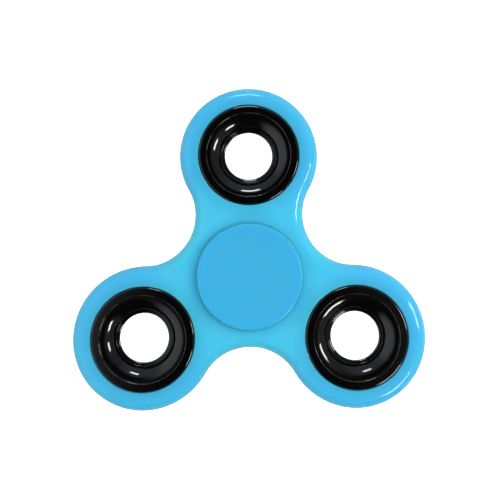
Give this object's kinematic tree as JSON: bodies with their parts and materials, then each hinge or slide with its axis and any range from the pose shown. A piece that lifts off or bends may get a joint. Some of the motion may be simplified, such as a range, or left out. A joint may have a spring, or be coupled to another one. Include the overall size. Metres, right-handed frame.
{
  "type": "fidget spinner",
  "caption": "Flat hand toy: a lobed plastic body turning on a central ball bearing between finger caps, with a black ring weight in each lobe.",
  "frame": {"origin": "on the spin axis at mid-thickness, which is also the centre of mass", "axes": "+Z along the spin axis towards the upper finger cap, +Y towards the centre of one lobe, +X across the other two"},
  "size_m": [0.0758, 0.0697, 0.011],
  "materials": {
    "body_plastic": "gloss",
    "cap_plastic": "satin",
    "weight_enamel": "gloss",
    "bearing_steel": "polished",
    "cage_steel": "satin"
  },
  "bodies": {
    "grip": {"finger_cap_top": "cap_plastic", "finger_cap_bottom": "cap_plastic", "bearing_inner_race": "bearing_steel"},
    "spinner": {"spinner_body": "body_plastic", "counterweight_top": "weight_enamel", "counterweight_left": "weight_enamel", "counterweight_right": "weight_enamel", "bearing_outer_race": "bearing_steel", "bearing_shield_upper": "bearing_steel", "bearing_shield_lower": "bearing_steel"},
    "ball_cage": {"bearing_cage_upper": "cage_steel", "bearing_cage_lower": "cage_steel", "cage_rivet_1": "cage_steel", "cage_rivet_2": "cage_steel", "cage_rivet_3": "cage_steel", "cage_rivet_4": "cage_steel", "cage_rivet_5": "cage_steel", "cage_rivet_6": "cage_steel", "cage_rivet_7": "cage_steel"},
    "ball_1": {"bearing_ball_1": "bearing_steel"},
    "ball_2": {"bearing_ball_2": "bearing_steel"},
    "ball_3": {"bearing_ball_3": "bearing_steel"},
    "ball_4": {"bearing_ball_4": "bearing_steel"},
    "ball_5": {"bearing_ball_5": "bearing_steel"},
    "ball_6": {"bearing_ball_6": "bearing_steel"},
    "ball_7": {"bearing_ball_7": "bearing_steel"}
  },
  "joints": [
    {"name": "body_spin", "type": "hinge", "parent": "grip", "child": "spinner", "pos_m": [0, 0, 0], "axis": [0, 0, 1], "continuous": true},
    {"name": "cage_spin", "type": "hinge", "parent": "grip", "child": "ball_cage", "pos_m": [0, 0, 0], "axis": [0, 0, 1], "continuous": true},
    {"name": "ball_1_spin", "type": "hinge", "parent": "ball_cage", "child": "ball_1", "pos_m": [0.0075, 0, 0], "axis": [0, 0, 1], "continuous": true},
    {"name": "ball_2_spin", "type": "hinge", "parent": "ball_cage", "child": "ball_2", "pos_m": [0.00468, 0.00586, 0], "axis": [0, 0, 1], "continuous": true},
    {"name": "ball_3_spin", "type": "hinge", "parent": "ball_cage", "child": "ball_3", "pos_m": [-0.00167, 0.00731, 0], "axis": [0, 0, 1], "continuous": true},
    {"name": "ball_4_spin", "type": "hinge", "parent": "ball_cage", "child": "ball_4", "pos_m": [-0.00676, 0.00325, 0], "axis": [0, 0, 1], "continuous": true},
    {"name": "ball_5_spin", "type": "hinge", "parent": "ball_cage", "child": "ball_5", "pos_m": [-0.00676, -0.00325, 0], "axis": [0, 0, 1], "continuous": true},
    {"name": "ball_6_spin", "type": "hinge", "parent": "ball_cage", "child": "ball_6", "pos_m": [-0.00167, -0.00731, 0], "axis": [0, 0, 1], "continuous": true},
    {"name": "ball_7_spin", "type": "hinge", "parent": "ball_cage", "child": "ball_7", "pos_m": [0.00468, -0.00586, 0], "axis": [0, 0, 1], "continuous": true}
  ],
  "couplings": [
    {"joint": "cage_spin", "follows": "body_spin", "ratio": 0.6323},
    {"joint": "ball_1_spin", "follows": "body_spin", "ratio": 1.7573},
    {"joint": "ball_2_spin", "follows": "body_spin", "ratio": 1.7573},
    {"joint": "ball_3_spin", "follows": "body_spin", "ratio": 1.7573},
    {"joint": "ball_4_spin", "follows": "body_spin", "ratio": 1.7573},
    {"joint": "ball_5_spin", "follows": "body_spin", "ratio": 1.7573},
    {"joint": "ball_6_spin", "follows": "body_spin", "ratio": 1.7573},
    {"joint": "ball_7_spin", "follows": "body_spin", "ratio": 1.7573}
  ]
}
